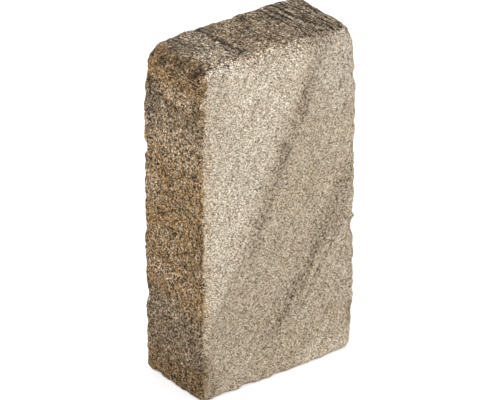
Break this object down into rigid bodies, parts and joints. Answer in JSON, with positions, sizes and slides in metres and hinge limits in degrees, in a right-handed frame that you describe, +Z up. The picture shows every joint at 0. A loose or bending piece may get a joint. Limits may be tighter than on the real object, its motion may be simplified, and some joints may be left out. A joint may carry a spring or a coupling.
{
  "type": "tumbled concrete wall block",
  "caption": "Rectangular tumbled concrete block for dry-laid garden walls, with worn arrises, knocked corners and shallow chips, in a mottled shell-limestone colour, standing on its end.",
  "frame": {"origin": "middle of the end that the block stands on, on the floor", "axes": "+Z up along the block's length, +Y across its course height from one bed face to the other, +X from the wall's face into the wall"},
  "size_m": [0.2, 0.1, 0.375],
  "materials": {
    "concrete": "rough tumbled concrete, mottled cream, tan, ochre and grey-brown"
  },
  "bodies": {
    "root": {"wall_block": "concrete"}
  },
  "joints": []
}
